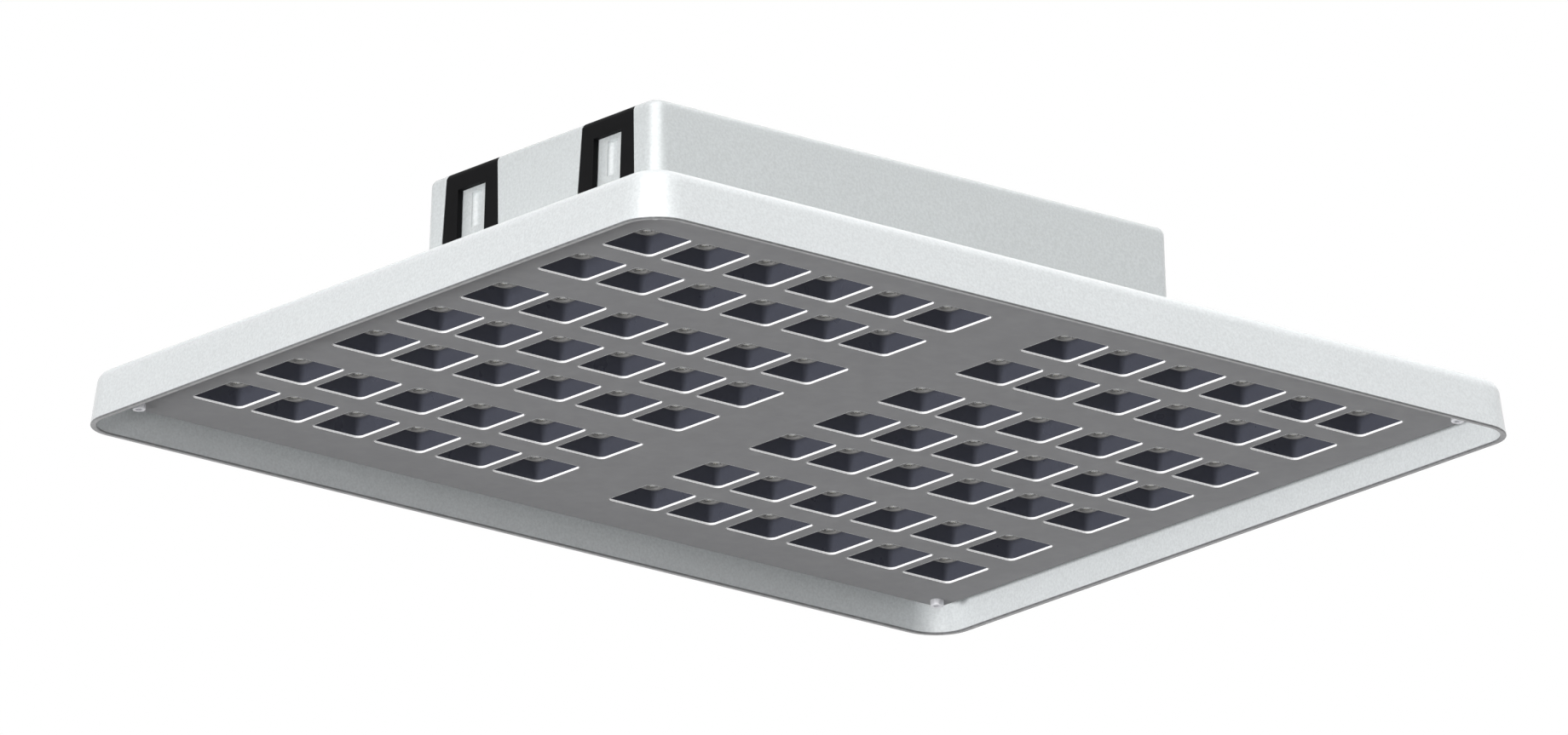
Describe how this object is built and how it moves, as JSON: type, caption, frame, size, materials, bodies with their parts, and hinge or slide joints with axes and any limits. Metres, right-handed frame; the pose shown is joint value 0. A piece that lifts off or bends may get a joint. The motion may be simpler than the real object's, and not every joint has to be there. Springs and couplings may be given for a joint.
{
  "type": "sports floodlight",
  "caption": "Rectangular floodlight: shallow flared housing, face panel with rows of deep square lens cells, and a latched gear box on its finned roof.",
  "frame": {"origin": "centre of the plane of the housing's rim, which is the underside of the whole light", "axes": "+X along the long side, +Z from the rim towards the gear box; the light shines along -Z"},
  "size_m": [0.6998, 0.5618, 0.147],
  "materials": {
    "white_paint": "fine powder coat",
    "panel_grey": "satin powder coat",
    "seal_rubber": "matt",
    "gland_plastic": "moulded nylon",
    "reflector_dark": "moulded, satin",
    "trim_white": "gloss",
    "optic_grey": "moulded, satin",
    "lens_clear": "clear optic",
    "board_white": "solder mask",
    "chip_yellow": "phosphor",
    "board_green": "solder mask",
    "plug_white": "moulded nylon",
    "spreader_aluminium": "rolled",
    "sheet_steel": "zinc plated",
    "screw_steel": "stainless",
    "driver_case": "satin paint",
    "surge_orange": "moulded",
    "terminal_ivory": "moulded nylon",
    "lead_jacket": "silicone sleeve",
    "latch_black": "satin moulding"
  },
  "bodies": {
    "floodlight": {"housing_tray": "white_paint", "face_panel": "panel_grey", "panel_gasket": "seal_rubber", "panel_screws": "screw_steel", "reflector_module_1": "reflector_dark", "reflector_module_2": "reflector_dark", "reflector_module_3": "reflector_dark", "reflector_module_4": "reflector_dark", "reflector_module_5": "reflector_dark", "reflector_module_6": "reflector_dark", "cell_trim_1": "trim_white", "cell_trim_2": "trim_white", "cell_trim_3": "trim_white", "cell_trim_4": "trim_white", "cell_trim_5": "trim_white", "cell_trim_6": "trim_white", "optic_plate_1": "optic_grey", "optic_plate_2": "optic_grey", "optic_plate_3": "optic_grey", "optic_plate_4": "optic_grey", "optic_plate_5": "optic_grey", "optic_plate_6": "optic_grey", "lens_set_1": "lens_clear", "lens_set_2": "lens_clear", "lens_set_3": "lens_clear", "lens_set_4": "lens_clear", "lens_set_5": "lens_clear", "lens_set_6": "lens_clear", "led_board_1": "board_white", "led_board_2": "board_white", "led_board_3": "board_white", "led_board_4": "board_white", "led_board_5": "board_white", "led_board_6": "board_white", "led_chips": "chip_yellow", "link_board": "board_green", "link_plug": "plug_white", "module_screws": "screw_steel", "heat_spreader": "spreader_aluminium", "cooling_fins": "white_paint", "gear_box_base": "white_paint", "seam_gasket_ring": "seal_rubber", "gear_box_cover": "white_paint", "hinge_pins": "screw_steel", "cable_gland_body": "gland_plastic", "cable_gland_nut": "gland_plastic", "cable_gland_seal": "seal_rubber", "vent_plug": "gland_plastic", "lead_grommet": "seal_rubber", "gear_tray": "sheet_steel", "driver_1": "driver_case", "driver_2": "driver_case", "surge_protector": "surge_orange", "terminal_block": "terminal_ivory", "gear_screws": "screw_steel", "wiring_leads": "lead_jacket"},
    "latch_1": {"latch_1": "latch_black"},
    "latch_2": {"latch_2": "latch_black"},
    "latch_3": {"latch_3": "latch_black"},
    "latch_4": {"latch_4": "latch_black"}
  },
  "joints": [
    {"name": "latch_1_hinge", "type": "hinge", "parent": "floodlight", "child": "latch_1", "pos_m": [-0.21165, -0.066, 0.048], "axis": [0, -1, 0], "range_deg": [0, 80]},
    {"name": "latch_2_hinge", "type": "hinge", "parent": "floodlight", "child": "latch_2", "pos_m": [-0.21165, 0.066, 0.048], "axis": [0, -1, 0], "range_deg": [0, 80]},
    {"name": "latch_3_hinge", "type": "hinge", "parent": "floodlight", "child": "latch_3", "pos_m": [0.21165, -0.066, 0.048], "axis": [0, 1, 0], "range_deg": [0, 80]},
    {"name": "latch_4_hinge", "type": "hinge", "parent": "floodlight", "child": "latch_4", "pos_m": [0.21165, 0.066, 0.048], "axis": [0, 1, 0], "range_deg": [0, 80]}
  ]
}
